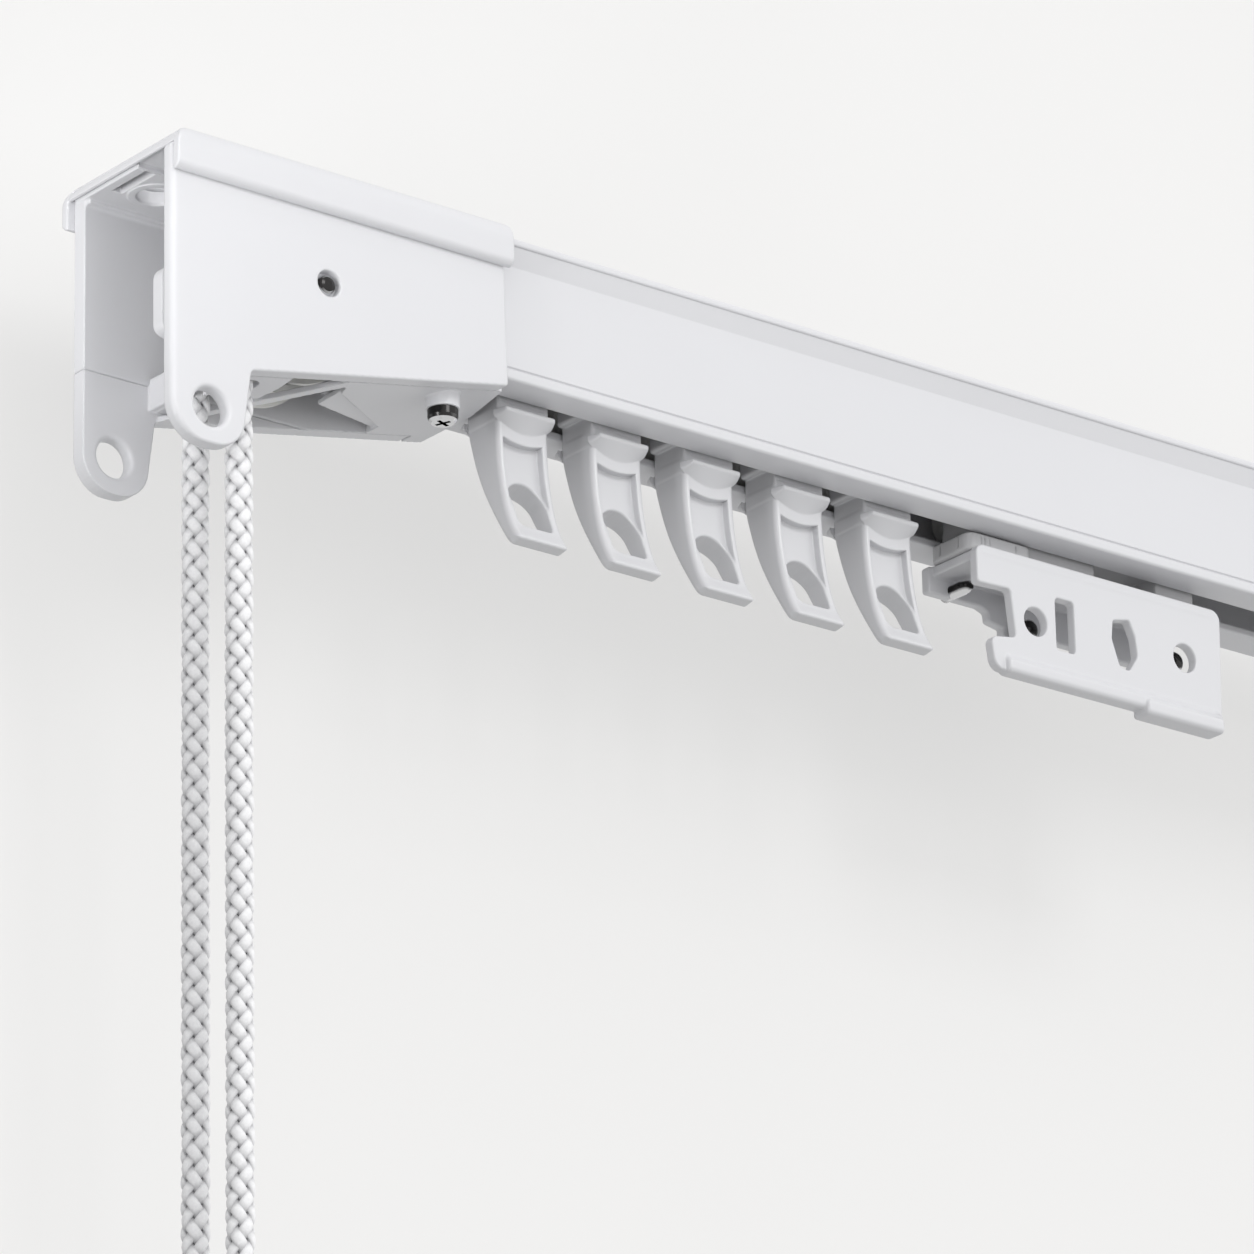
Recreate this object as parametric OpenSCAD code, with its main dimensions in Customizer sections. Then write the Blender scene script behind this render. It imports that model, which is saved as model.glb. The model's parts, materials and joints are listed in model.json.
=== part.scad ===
// Corded curtain track: end housing with two cord pulleys, C-section rail,
// five roller gliders, master carrier with draw arm, return end and cord loop.
// X runs along the rail to the right, Y towards the wall, Z up.

/* [Track] */
// Overall length from end housing to return end
total_len = 500; // [420:10:900]
// Width of the rail between its two side faces
rail_w = 18.1; // [17.9:0.1:18.2]
// Wall thickness of the rail section
rail_wall = 1.1; // [0.9:0.1:1.2]
// Width of the slot in the rail's underside
slot_w = 7.3; // [7:0.1:7.5]

/* [Cord] */
// Diameter of the braided cord
cord_d = 3.5; // [3:0.1:3.6]
// Radius of the cord's centreline on the end pulleys
pulley_pitch_r = 9.5; // [9.5:0.1:9.6]
// Radius of the cord's centreline on the return pulley
return_pitch_r = 4.5; // [4.5:0.1:4.6]

/* [Gliders] */
// Spacing of the gliders when they are stacked
glider_pitch = 15.15; // [13:0.05:15.2]
// Width of a glider along the rail
glider_w = 8.2; // [7.6:0.1:8.4]
// Radius of the rollers of gliders and carrier
roller_r = 4.2; // [3.8:0.1:4.4]

/* [Housing] */
// Thickness of the housing's side plates
plate_t = 2.2; // [2:0.1:2.4]
// Diameter of the holes in the two ears
ear_hole_d = 5; // [4:0.1:5.2]
// Diameter of the ceiling screw holes
ceiling_hole_d = 5; // [4:0.1:5.2]

/* [Hidden] */
$fn = 48;

// origin: top end of the ceiling screw hole in the end housing
ORG = [6.2, 14, 6.6];
y0 = plate_t;                 // inner face of the front plate
y1 = y0 + rail_w;             // inner face of the back plate
y2 = y1 + plate_t;            // outer face of the back plate
hx0 = -1.5;                   // left end of housing and cap
hb0 = -0.35;                  // left edge of the back plate
cap_in = 5.35;                // underside of the cap's top
cap_top = 6.6;
rail_top = 5.2;
rail_bot = -13.8;
slot_a = 7.3;                 // front edge of the slot
slot_b = slot_a + slot_w;
cord_r = cord_d / 2;
cord_z = 0.4;                 // height of the two runs in the rail
cord_ya = 6;                  // front run
cord_yb = 15;                 // rear run
pul_x = 22.2; pul_z = cord_z - pulley_pitch_r;
cord_x = pul_x - pulley_pitch_r;
mir_x = total_len + 2*hx0;    // the return end mirrors the first end about half of this
ret_x = mir_x - 22;           // axis of the return pulley
rail_x0 = 35.5; rail_x1 = mir_x - 35.5;
g1 = 58.5;                    // middle of the first glider
roll_z = rail_bot + rail_wall + roller_r + 0.15;
scr_x = 43.2; scr_y = 4.8;    // clamp screw
// slanted underside of the housing
function under(x) = -23.6 + 0.194 * (x - 10.4);

WHITE = [0.93, 0.93, 0.94];
STEEL = [0.75, 0.76, 0.78];

// the hanging loop's centreline, [y, z], by hand
PULL = [[6,-15],[6,-25],[6,-35],[6,-45],[6,-55],[6,-65],[6,-75],[6,-85],[6,-95],[6,-105],[6,-115],[6,-125],[6,-134],
  [5.9,-142],[5.4,-149],[4.6,-155],[3.9,-160],[3.4,-165],[3.3,-168],
  [3.8,-170.8],[5.4,-173.2],[7.8,-174.8],[10.5,-175.4],[13.2,-174.8],[15.6,-173.2],[17.2,-170.8],
  [17.7,-168],[17.6,-165],[17.1,-160],[16.4,-155],[15.6,-149],[15.1,-142],
  [15,-134],[15,-125],[15,-115],[15,-105],[15,-95],[15,-85],[15,-75],[15,-65],[15,-55],[15,-45],[15,-35],[15,-25],[15,-15]];

// polygon with rounded corners
function rnd(P, R, n = 4) = let (L = len(P)) [for (i = [0:L-1])
  let (a = P[(i+L-1)%L], b = P[i], c = P[(i+1)%L], u = (a-b)/norm(a-b), v = (c-b)/norm(c-b),
       ang = acos(u*v), r = R[i], t = r/tan(ang/2), o = b + (u+v)/norm(u+v)*r/sin(ang/2),
       p = b + u*t - o, q = b + v*t - o, th = 180 - ang)
  each (r < 0.01 ? [b] : [for (k = [0:n]) o + (p*sin((1-k/n)*th) + q*sin(k/n*th))/sin(th)])];

module xz(P, a, b) { translate([0, b, 0]) rotate([90, 0, 0]) linear_extrude(b - a) polygon(P); }
module yz(P, a, b) { translate([a, 0, 0]) rotate([90, 0, 90]) linear_extrude(b - a) polygon(P); }
module xy(P, a, b) { translate([0, 0, a]) linear_extrude(b - a) polygon(P); }
module cyl_y(x, z, a, b, r) { translate([x, b, z]) rotate([90, 0, 0]) cylinder(h = b - a, r = r); }
module cyl_z(x, y, a, b, r) { translate([x, y, a]) cylinder(h = b - a, r = r); }
module cyl_x(y, z, a, b, r) { translate([a, y, z]) rotate([0, 90, 0]) cylinder(h = b - a, r = r); }
module box(a, b) { translate(a) cube(b - a); }
module framed() { translate(-ORG) children(); }
module far_end() { translate([mir_x, 0, 0]) mirror([1, 0, 0]) children(); }
// slab that follows the slanted underside, between offsets a and b above it
module slanted(P, a, b) {
  intersection() {
    xy(P, -30, -8);
    xz([[-3, under(-3)+a], [60, under(60)+a], [60, under(60)+b], [-3, under(-3)+b]], -1, 30);
  }
}

// ---- end housing ----
module front_plate_shape() {
  xz(rnd([[hx0,3.4],[hx0,-34.6],[8.9,-34.6],[10.4,-23.6],[49.95,-15.93],[49.45,cap_in],[-0.1,cap_in],[-1,4.5]],
         [0,5.15,4.3,0.8,0.3,0.3,0,0], 10), 0, y0);
}
module end_housing() { color(WHITE) framed() difference() {
  union() {
    front_plate_shape();
    xz([[hb0,3.4],[hb0,-19.1],[33.6,-19.1],[49.95,-15.93],[49.45,cap_in],[-0.1,cap_in],[hb0,4.5]], y1, y2);
    box([-0.86, y0, 2.3], [33.5, y1, cap_in]);
    // ledge along the back plate, and the pulley axle's rear boss
    box([hb0, y1-1.2, 1.4], [33.5, y1, 2.3]);
    cyl_y(pul_x, pul_z, y1-2.1, y1, 3.0);
  }
  // raised ceiling at the front and clip window
  box([-2, y0, 1.3], [34.5, 8.6, 3.5]);
  box([0.8, 8.9, 1], [2.3, 16, cap_in+1]);
  // room for the cap's end lip
  box([hx0-1, -1, 2.28], [hx0+0.62, y2+1, cap_in+1]);
  // relief for the rail's top beads
  xz([[35,1.3],[51,1.3],[51,5.8],[35,5.8]], 0.85, y0+0.1);
  xz([[35,1.3],[51,1.3],[51,5.8],[35,5.8]], y1-0.1, y2-0.85);
  cyl_z(ORG[0], ORG[1], 0, 8, ceiling_hole_d/2);
  cyl_y(4.35, -29.8, -1, y0+1, ear_hole_d/2);
  cyl_y(pul_x, pul_z, -1, 1.3, 1.7);
  cyl_y(pul_x, pul_z, 1, y0+1, 1.52);
  cyl_y(pul_x, pul_z, y1-3.2, y1+1.2, 1.52);
} }

module cap_shape(L) {
  intersection() {
    union() {
      yz(rnd([[-1.25,0.1],[-1.25,cap_top],[y2+1.25,cap_top],[y2+1.25,0.1],[y2,0.1],[y2,cap_in],[0,cap_in],[0,0.1]],
             [0.6,2.4,2.4,0.6,0,0,0,0], 8), hx0, hx0+L);
      box([hx0, 0, 2.3], [hx0+0.6, y2, cap_in + 0.1]);
    }
    xz(rnd([[hx0,-1],[hx0,cap_top],[hx0+L,cap_top],[hx0+L,-1]], [0,2.4,0.5,0], 8), -3, 30);
  }
}
module top_cap() { color(WHITE) framed() difference() {
  cap_shape(51.9);
  cyl_z(ORG[0], ORG[1], 3, 9, ceiling_hole_d/2);
} }

// underside plate with the screw boss; P is its outline
module under_plate(P) {
  difference() {
    union() {
      slanted(P, 0, 1.1);
      cyl_z(scr_x, scr_y, -19.25, -16.6, 2.15);
    }
    cyl_z(scr_x, scr_y, -20, -12, 1.6);
  }
}
module lower_bracket() { color(WHITE) framed() union() {
  // lower strip of the back plate with its ear
  difference() {
    xz(rnd([[hb0,-19.12],[hb0,-34.6],[8.9,-34.6],[10.4,-23.6],[33.2,-19.18],[33.2,-19.12]], [0,4.55,4.3,0.8,0,0], 10), y1, y2);
    cyl_y(4.35, -29.8, y1-1, y2+1, ear_hole_d/2);
  }
  // cross web in front of the cords
  box([9.4, y0+0.02, -22.4], [10.6, y1+0.1, -19.2]);
  box([9.4, y0+0.02, -19.4], [10.6, y1-0.02, -18.2]);
  box([9.8, y0+0.02, -23.3], [10.9, 8.2, -22.3]);
  box([10.5, 17.4, -22.4], [13.6, y1+0.4, -21.2]);
  // diagonal brace
  slanted([[10.3,y1+0.4],[12.8,y1+0.4],[29.3,y0+0.02],[26.8,y0+0.02]], 0, 0.7);
  // cheek round the front cord
  difference() {
    slanted([[10.5,y0+0.02],[18.2,y0+0.02],[18.8,6.1],[18.4,9.9],[16,10.1],[10.5,10.1]], 0, 0.7);
    cyl_z(cord_x, cord_ya, -30, -10, cord_r+0.7);
    box([10.65, 8.2, -30], [15.3, 11, -10]);
  }
  under_plate([[26.8,y0+0.02],[50.6,y0+0.02],[53.2,11.8],[53.2,y2],[50.05,y2],[50.05,y1-0.05],[42.8,y1-0.05],[42.8,y1-2.6],[28.8,6.6]]);
  slanted([[28.8,6.6],[29.2,12],[42.8,y1-1.2],[42.8,y1-2.6]], 0.5, 1.1);
} }

module pulley_divider() { color(WHITE) framed() difference() {
  xz(rnd([[3.7,-8.3],[3.7,-16.4],[8.6,-17.9],[33.2,-17.9],[33.2,2.2],[15,2.2],[9,-5.7]], [1.8,1,1,1,1,2,2], 5), 9.4, 11.6);
  cyl_y(pul_x, pul_z, 9, 13, 1.56);
} }

module grooved(r_out, r_groove, w, hub, bore) {
  // pulley about Z, centred, with a rounded groove
  g = cord_r + 0.22;
  rotate_extrude($fn = 64) polygon(concat(
    [[bore, -w/2], [hub, -w/2], [hub+0.4, -w/2+0.5], [r_out-1.6, -w/2+0.5], [r_out-1.2, -w/2], [r_out, -w/2], [r_out, -g-0.25]],
    [for (k = [0:8]) [r_groove + g - g*sin(180*k/8)*1.0, -g*cos(180*k/8)]],
    [[r_out, g+0.25], [r_out, w/2], [r_out-1.2, w/2], [r_out-1.6, w/2-0.5], [hub+0.4, w/2-0.5], [hub, w/2], [bore, w/2]]));
}
module end_pulley(y) { color(WHITE) framed() translate([pul_x, y, pul_z]) rotate([90, 0, 0])
  grooved(10.3, pulley_pitch_r-cord_r-0.15, 5.8, 3.2, 1.56); }
module front_pulley() { end_pulley(cord_ya); }
module rear_pulley() { end_pulley(cord_yb); }

module pulley_axle() { color(STEEL) framed() union() {
  cyl_y(pul_x, pul_z, 1.35, y1+1, 1.5);
  cyl_y(pul_x, pul_z, 0.75, 1.35, 1.3);
  translate([pul_x, 0.75, pul_z]) rotate([90, 0, 0]) rotate_extrude($fn = 32)
    polygon([[0,0],[1.3,0],[1.2,0.25],[0.95,0.45],[0.6,0.58],[0,0.62]]);
} }

// pan head screw about Z, its head downwards, the head's top at z = 0
module pan_screw(hr, hh, sr, len, slot_d = 0.7) {
  difference() {
    union() {
      rotate_extrude($fn = 40) polygon([[0,0],[hr,0],[hr,-hh*0.55],[hr*0.93,-hh*0.8],[hr*0.75,-hh],[0,-hh]]);
      cylinder(h = len, r = sr, $fn = 32);
    }
    for (a = [0, 90]) rotate([0, 0, a+20]) translate([-hr*0.55, -hr*0.13, -hh-1]) cube([hr*1.1, hr*0.26, 1+slot_d]);
  }
}
module clamp_screw() { color(STEEL) framed() translate([scr_x, scr_y, -19.27]) pan_screw(1.95, 1.75, 1.5, 8.6); }
module clamp_nut() { color(STEEL) framed() difference() {
  box([scr_x-2.75, 3.4, rail_bot+rail_wall+0.02], [scr_x+2.75, 8.6, rail_bot+rail_wall+2.2]);
  cyl_z(scr_x, scr_y, -14, -9, 1.52);
} }

module track_rail() { color(WHITE) framed() difference() {
  t = rail_wall;
  yz(concat(
    rnd([[1.0,4.1],[1.0,rail_top],[y1+1.2,rail_top],[y1+1.2,4.1]], [0.3,0.45,0.45,0.3], 4),
    [[y1,1.7]], rnd([[y1,-12],[y1,rail_bot],[slot_b,rail_bot]], [0,0.4,0], 4),
    [[slot_b,rail_bot+t],[y1-t,rail_bot+t],[y1-t,2.1],[y1-t+0.4,rail_top-t],[y0+t-0.4,rail_top-t],[y0+t,2.1],[y0+t,rail_bot+t],[slot_a,rail_bot+t]],
    rnd([[slot_a,rail_bot],[y0,rail_bot],[y0,-12.45]], [0,0.4,0], 4),
    [[y0+0.28,-12.25],[y0,-12.05],[y0,1.7]]), rail_x0, rail_x1);
  cyl_z(scr_x, scr_y, -15, -12, 1.7);
  cyl_z(mir_x-scr_x, scr_y, -15, -12, 1.7);
} }

// ---- gliders ----
GF = [[8.05,-14.2],[8.05,-18.4],[7.95,-20.3],[7.7,-23],[7.2,-26],[6.5,-28.8],[5.5,-31.4],[4.3,-33.3]];
GB = [[5.9,-34.1],[6.8,-33.4],[8.4,-31],[10.2,-28],[11.8,-24.9],[13,-21.9],[13.9,-19],[14.4,-16.9],[14.5,-14.2]];
module glider() {
  w = glider_w/2;
  difference() {
    union() {
      yz(concat(GF, GB), -w, w);
      // neck through the slot and head in the rail
      box([-w, 8.05, -14.4], [w, 14.2, -12.2]);
      box([-5.1, 8.2, -12.3], [5.1, 14.1, -6.2]);
      // front and back shoulders under the flanges
      xz(rnd([[-w,-15.2],[-w,-16.3],[-2.4,-17.5],[0,-17.95],[2.4,-17.5],[w,-16.3],[w,-15.2]], [0,0,1,2,1,0,0], 4), 6.5, 8.2);
      xz(rnd([[-w,-15.2],[-w,-16.3],[-2.4,-17.5],[0,-17.95],[2.4,-17.5],[w,-16.3],[w,-15.2]], [0,0,1,2,1,0,0], 4), 14.3, 16);
    }
    // recessed face between the side rims
    yz(concat([for (p = GF) if (p[1] < -18.9 && p[1] > -30) [p[0]+1.1, p[1]]], [[6.4,-30.4],[3,-30.4],[3,-18.9],[9.15,-18.9]]), -w+1.15, w-1.15);
    // eye, running down towards the back
    translate([0, 6.5, -28]) rotate([-20, 0, 0]) xz(rnd([[-2.7,-3.5],[2.7,-3.5],[2.7,4.2],[-2.7,4.2]], [0.9,0.9,2.65,2.65], 6), -9, 12);
    cyl_y(0, roll_z, 7, 15, 1.05);
  }
}
module rollers(x, ya, yb) {
  // two rollers on one axle
  w = 3.2;
  translate([x, 0, 0]) union() {
    cyl_y(0, roll_z, ya-0.3, yb+0.3, 1.0);
    for (a = [ya, yb-w]) translate([0, a+w, roll_z]) rotate([90, 0, 0]) rotate_extrude($fn = 48)
      polygon([[0.9,0],[2,0],[2.2,0.5],[roller_r-1,0.5],[roller_r-0.8,0],[roller_r-0.3,0],[roller_r,0.3],[roller_r,w-0.3],
               [roller_r-0.3,w],[roller_r-0.8,w],[roller_r-1,w-0.5],[2.2,w-0.5],[2,w],[0.9,w]]);
  }
}
module glider_at(i) { color(WHITE) framed() translate([g1 + glider_pitch*(i-1), 0, 0]) glider(); }
module rollers_at(i) { color([0.85,0.85,0.83]) framed() rollers(g1 + glider_pitch*(i-1), 3.9, 18.6); }
module glider_1() { glider_at(1); }
module glider_2() { glider_at(2); }
module glider_3() { glider_at(3); }
module glider_4() { glider_at(4); }
module glider_5() { glider_at(5); }
module glider_rollers_1() { rollers_at(1); }
module glider_rollers_2() { rollers_at(2); }
module glider_rollers_3() { rollers_at(3); }
module glider_rollers_4() { rollers_at(4); }
module glider_rollers_5() { rollers_at(5); }

// ---- master carrier ----
module carrier_body() { color([0.82,0.82,0.83]) framed() difference() {
  union() {
    box([133.8, 8.2, -12.3], [173.4, 14.1, -6.2]);
    // necks in the slot
    box([133.8, 8.05, -16.53], [155.5, 14.2, -12.2]);
    box([166.5, 8.05, -16.53], [173.4, 14.2, -12.2]);
    // pad at the left end
    xy(rnd([[131.8,6.5],[143.2,6.5],[143.2,14.8],[131.8,14.8]], [1.2,1.2,1.2,1.2], 6), -16.53, -14.1);
    // trough that holds the front cord
    box([147.5, 3.8, -3.1], [159.5, 12.6, 2.25]);
    box([147.5, 8.2, -6.4], [159.5, 12.6, -3.0]);
  }
  cyl_y(140, roll_z, 7, 15, 1.05);
  cyl_y(167, roll_z, 7, 15, 1.05);
  cyl_x(cord_ya, cord_z, 146, 161, cord_r+0.2);
  box([146, cord_ya-cord_r-0.2, cord_z], [161, cord_ya+cord_r+0.2, 3]);
  cyl_z(153.5, 10.4, -3, 3, 0.82);
  cyl_z(145, 11.1, -18, -13, 1.02);
  cyl_z(170.5, 11.1, -18, -13, 1.02);
} }
module carrier_rollers_left() { color([0.85,0.85,0.83]) framed() rollers(140, 3.9, 18.6); }
module carrier_rollers_right() { color([0.85,0.85,0.83]) framed() rollers(167, 3.9, 18.6); }
module cord_clamp() { color(STEEL) framed() difference() {
  xy(rnd([[148.5,4.0],[158.5,4.0],[158.5,12.4],[148.5,12.4]], [0.8,0.8,0.8,0.8], 4), 2.27, 3.05);
  cyl_z(153.5, 10.4, 1, 4, 0.85);
} }
module clamp_plate_screw() { color(STEEL) framed() union() {
  cyl_z(153.5, 10.4, -2.2, 3.07, 0.8);
  translate([153.5, 10.4, 3.07]) cylinder(h = 0.4, r = 1.5);
} }

PINS = [[146.6,-23.2],[172.9,-22.1],[135.9,-19.45]];
module draw_arm() { color(WHITE) framed() difference() {
  union() {
    // front plate
    xz(rnd([[131.4,-16.55],[131.4,-22.1],[137.1,-21.9],[137.8,-28.5],[133.4,-29.2],[134,-33.6],[174.5,-33.6],[175,-16.55]],
           [1.3,0.3,0.5,0.5,0.9,1.6,0.5,1.5], 6), 4.6, 6.2);
    // top web, outside corner rounded
    yz(rnd([[4.6,-16.55],[4.6,-17.9],[16.1,-17.9],[16.1,-16.55]], [1.1,0,0,1.1], 6), 132.5, 173.8);
    // rear plate, shorter at its left end, with lobes that carry the pins
    xz(rnd([[131.6,-16.6],[131.6,-19.6],[137.1,-19.8],[138.2,-22.8],[174.8,-22.8],[174.8,-16.6]], [0.6,0.3,0.6,0.6,0.8,1], 4), 14.6, 16.1);
    for (p = PINS) cyl_y(p[0], p[1], 14.6, 16.1, 2.1);
    // bead along the bottom edge, and the foot at its right end
    yz(rnd([[3.7,-34],[6.2,-34],[6.2,-31.9],[4.6,-31.3],[3.7,-32.3]], [0.7,0.5,0,0,0.6], 5), 135.7, 174);
    yz(rnd([[3.1,-34.9],[6.5,-34.9],[6.5,-32.4],[4.6,-31.6],[3.1,-33]], [0.7,0.5,0,0,0.8], 5), 159.7, 173.6);
  }
  cyl_y(141.4, -25.55, 3, 7, 2.0);
  cyl_y(168.1, -24.8, 3, 7, 2.0);
  xz(rnd([[145,-28.65],[148.3,-28.65],[148.3,-21.3],[145,-21.3]], [0.6,0.6,0.6,0.6], 4), 3, 7);
  xz(rnd([[155.3,-22.2],[158.2,-21.6],[159.2,-23.8],[159.5,-26.5],[157.9,-28.9],[156.2,-28.5],[155,-24.9]],
         [0.4,0.4,1,1.2,0.8,0.7,1], 3), 3, 7);
  cyl_z(145, 11.1, -19, -16, 1.1);
  cyl_z(170.5, 11.1, -19, -16, 1.1);
  for (p = PINS) cyl_y(p[0], p[1], 14, 18, 1.02);
} }
module arm_web_screws() { color(STEEL) framed() for (x = [145, 170.5])
  translate([x, 11.1, -17.92]) pan_screw(2.0, 1.2, 1.0, 4.8, 0.5); }
module arm_pins() { color(STEEL) framed() for (p = PINS) union() {
  cyl_y(p[0], p[1], 12.2, 16.5, 1.0);
  translate([p[0], 12.25, p[1]]) rotate([90, 0, 0]) rotate_extrude($fn = 32)
    polygon([[0,0],[1.5,0],[1.45,0.4],[1.25,0.8],[0.8,1.1],[0,1.2]]);
} }

// ---- return end ----
module return_housing() { color(WHITE) framed() far_end() difference() {
  union() {
    for (y = [[0, y0], [y1, y2]]) xz(rnd([[hx0,3.4],[hx0,under(hx0)],[49.95,under(49.95)],[49.45,cap_in],[-0.1,cap_in],[-1,4.5]], [0,2.5,0.3,0.3,0,0], 6), y[0], y[1]);
    box([hx0+0.64, y0, 3.5], [33.5, y1, cap_in]);
    // closed end wall and the shelf under the pulley
    box([hx0+0.02, y0, -25.4], [hx0+1.8, y1, 3.6]);
    box([0.1, y0, -6.1], [33, y1, -4.6]);
    cyl_z(22, (cord_ya+cord_yb)/2, -4.7, -2.7, 2.6);
  }
  xz([[35,1.3],[51,1.3],[51,5.8],[35,5.8]], 0.85, y0+0.1);
  xz([[35,1.3],[51,1.3],[51,5.8],[35,5.8]], y1-0.1, y2-0.85);
  xz([[hx0-1,-27],[hx0-1,-22.5],[hx0+3,-27]], -1, 30);
  // room for the cap's end lip
  box([hx0-1, -1, 2.28], [hx0+0.62, y2+1, cap_in+1]);
  cyl_z(6, 13, 0, 8, ceiling_hole_d/2);
  cyl_z(6, 13, -8, -4, 3.6);
  cyl_z(22, (cord_ya+cord_yb)/2, -8, 4.7, 1.52);
} }
module return_cap() { color(WHITE) framed() far_end() difference() {
  cap_shape(51.9);
  cyl_z(6, 13, 3, 9, ceiling_hole_d/2);
} }
module return_bracket() { color(WHITE) framed() far_end() difference() {
  under_plate([[hx0+1.82,y0+0.02],[50.6,y0+0.02],[53.2,11.8],[53.2,y1-0.02],[hx0+1.82,y1-0.02]]);
  cyl_z(6, 13, -30, -15, 3.6);
} }
module return_pulley() { color(WHITE) framed() translate([ret_x, (cord_ya+cord_yb)/2, cord_z])
  rotate_extrude($fn = 64) polygon(concat(
    [[1.56,-2.8],[6.5,-2.8],[6.5,-2.3]],
    [for (k = [0:8]) [return_pitch_r-0.15 - (cord_r+0.2)*sin(180*k/8)*0.97 + 0.2, -(cord_r+0.2)*cos(180*k/8)]],
    [[6.5,2.3],[6.5,2.8],[1.56,2.8]])); }
module return_axle() { color(STEEL) framed() union() {
  cyl_z(ret_x, (cord_ya+cord_yb)/2, -6.7, 4.5, 1.5);
  translate([ret_x, (cord_ya+cord_yb)/2, -6.12]) rotate_extrude($fn = 32) polygon([[0,-1.2],[1.2,-1.1],[2.2,-0.7],[2.5,0],[0,0]]);
} }
module return_screw() { color(STEEL) framed() far_end() translate([scr_x, scr_y, -19.27]) pan_screw(1.95, 1.75, 1.5, 8.6); }
module return_nut() { color(STEEL) framed() far_end() difference() {
  box([scr_x-2.75, 3.4, rail_bot+rail_wall+0.02], [scr_x+2.75, 8.6, rail_bot+rail_wall+2.2]);
  cyl_z(scr_x, scr_y, -14, -9, 1.52);
} }

// ---- cord ----
// the part of the loop held by the track: up over both pulleys, along the rail and round the return pulley
module track_cord() { color([0.95,0.95,0.96]) framed() {
  ym = (cord_ya+cord_yb)/2;
  union() {
    for (y = [cord_ya, cord_yb]) {
      cyl_z(cord_x, y, -15, pul_z, cord_r);
      translate([pul_x, y, pul_z]) rotate([90, 0, 0]) rotate([0, 0, 90]) rotate_extrude(angle = 90, $fn = 64)
        translate([pulley_pitch_r, 0]) circle(r = cord_r, $fn = 24);
      cyl_x(y, cord_z, pul_x, ret_x, cord_r);
    }
    translate([ret_x, ym, cord_z]) rotate([0, 0, -90]) rotate_extrude(angle = 180, $fn = 64)
      translate([(cord_yb-cord_ya)/2, 0]) circle(r = cord_r, $fn = 24);
  }
} }

// swept tube of 8 sides along the loop's points
module pull_cord() { color([0.95,0.95,0.96]) framed() {
  N = len(PULL); m = 8;
  dirs = [for (i = [0:N-1]) let (d = PULL[min(i+1,N-1)] - PULL[max(i-1,0)]) d/norm(d)];
  pts = [for (i = [0:N-1]) for (k = [0:m-1]) let (a = 360*k/m + 22.5, s = cord_r*cos(a), e = cord_r*sin(a))
    [cord_x + e, PULL[i][0] + s*dirs[i][1], PULL[i][1] - s*dirs[i][0]]];
  faces = concat(
    [[for (k = [0:m-1]) k]],
    [for (i = [0:N-2]) for (k = [0:m-1]) [i*m+k, (i+1)*m+k, (i+1)*m+(k+1)%m, i*m+(k+1)%m]],
    [[for (k = [m-1:-1:0]) (N-1)*m+k]]);
  polyhedron(points = pts, faces = faces, convexity = 4);
} }

end_housing();
top_cap();
lower_bracket();
pulley_divider();
front_pulley();
rear_pulley();
pulley_axle();
clamp_screw();
clamp_nut();
track_rail();
glider_1();
glider_2();
glider_3();
glider_4();
glider_5();
glider_rollers_1();
glider_rollers_2();
glider_rollers_3();
glider_rollers_4();
glider_rollers_5();
carrier_body();
carrier_rollers_left();
carrier_rollers_right();
cord_clamp();
clamp_plate_screw();
draw_arm();
arm_web_screws();
arm_pins();
return_housing();
return_cap();
return_bracket();
return_pulley();
return_axle();
return_screw();
return_nut();
track_cord();
pull_cord();
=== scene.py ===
import json
import math

import bpy
import numpy as np
from mathutils import Matrix, Vector


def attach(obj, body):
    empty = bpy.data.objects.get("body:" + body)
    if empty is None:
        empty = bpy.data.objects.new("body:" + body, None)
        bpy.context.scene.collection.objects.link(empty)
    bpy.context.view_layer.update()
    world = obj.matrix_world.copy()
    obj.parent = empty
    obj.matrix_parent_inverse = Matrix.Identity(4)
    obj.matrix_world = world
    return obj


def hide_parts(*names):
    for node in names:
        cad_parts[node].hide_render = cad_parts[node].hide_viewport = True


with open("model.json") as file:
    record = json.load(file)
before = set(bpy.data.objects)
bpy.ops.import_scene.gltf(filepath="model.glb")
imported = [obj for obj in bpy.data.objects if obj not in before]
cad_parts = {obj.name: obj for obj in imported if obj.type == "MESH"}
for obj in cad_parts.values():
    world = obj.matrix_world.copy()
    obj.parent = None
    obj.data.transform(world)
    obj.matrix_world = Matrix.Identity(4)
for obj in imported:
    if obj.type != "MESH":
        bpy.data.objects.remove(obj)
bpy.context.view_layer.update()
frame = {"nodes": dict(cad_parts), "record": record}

# Lengths below are in millimetres from the front plate's upper left corner, as in the CAD source:
# X along the rail, Y towards the wall, Z up. place() turns them into the row frame, in metres.
ORG = np.array([6.2, 14.0, 6.6])


def place(v):
    return (np.asarray(v, float) - ORG) / 1000.0


# ---------------------------------------------------------------- camera
def make_camera():
    eye = place([-485.7, -681.2, -380.4])
    az, el, roll = math.radians(39.11), math.radians(20.96), math.radians(-1.263)
    f = Vector((math.sin(az) * math.cos(el), math.cos(az) * math.cos(el), math.sin(el)))
    r0 = f.cross(Vector((0, 0, 1))).normalized()
    u0 = r0.cross(f)
    r = r0 * math.cos(roll) + u0 * math.sin(roll)
    u = u0 * math.cos(roll) - r0 * math.sin(roll)
    cam = bpy.data.objects.new("camera", bpy.data.cameras.new("camera"))
    bpy.context.scene.collection.objects.link(cam)
    m = Matrix((r, u, -f)).transposed().to_4x4()
    m.translation = Vector(eye)
    cam.matrix_world = m
    cam.data.sensor_fit = "HORIZONTAL"
    cam.data.sensor_width = 36.0
    cam.data.lens = 7530.0 / 1254.0 * 36.0
    cam.data.clip_start, cam.data.clip_end = 0.01, 50.0
    bpy.context.scene.camera = cam


make_camera()


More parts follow.
